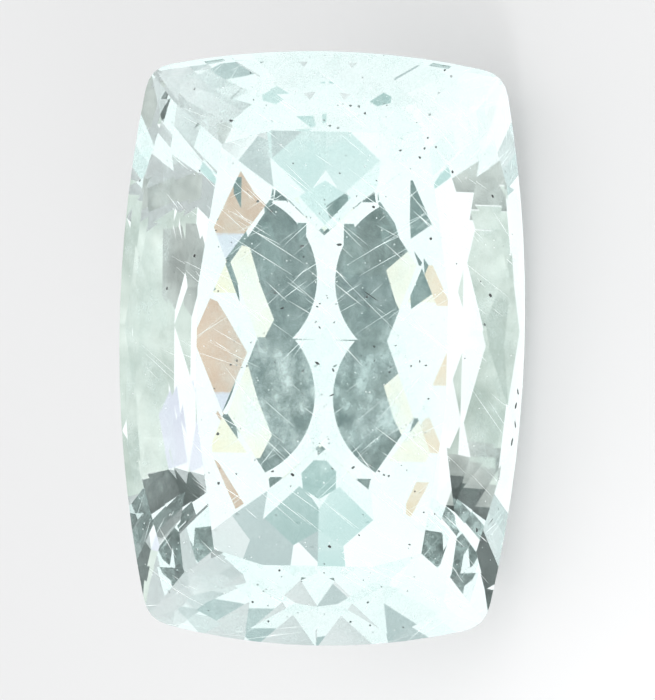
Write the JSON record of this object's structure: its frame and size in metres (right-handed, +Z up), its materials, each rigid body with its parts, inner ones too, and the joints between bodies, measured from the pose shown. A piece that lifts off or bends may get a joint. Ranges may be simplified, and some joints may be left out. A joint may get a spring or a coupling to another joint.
{
  "type": "cut aquamarine gemstone",
  "caption": "Loose faceted aquamarine in an elongated cushion cut, lying on one facet of its underside with its table turned up.",
  "frame": {"origin": "on the facet that the stone rests on, straight below the middle of its girdle", "axes": "+Z up from the surface it lies on, +X along the stone towards its wider end, -Y the side its table is turned to"},
  "size_m": [0.01, 0.0052, 0.0052],
  "materials": {
    "aquamarine": "polished"
  },
  "bodies": {
    "root": {"aquamarine": "aquamarine"}
  },
  "joints": []
}
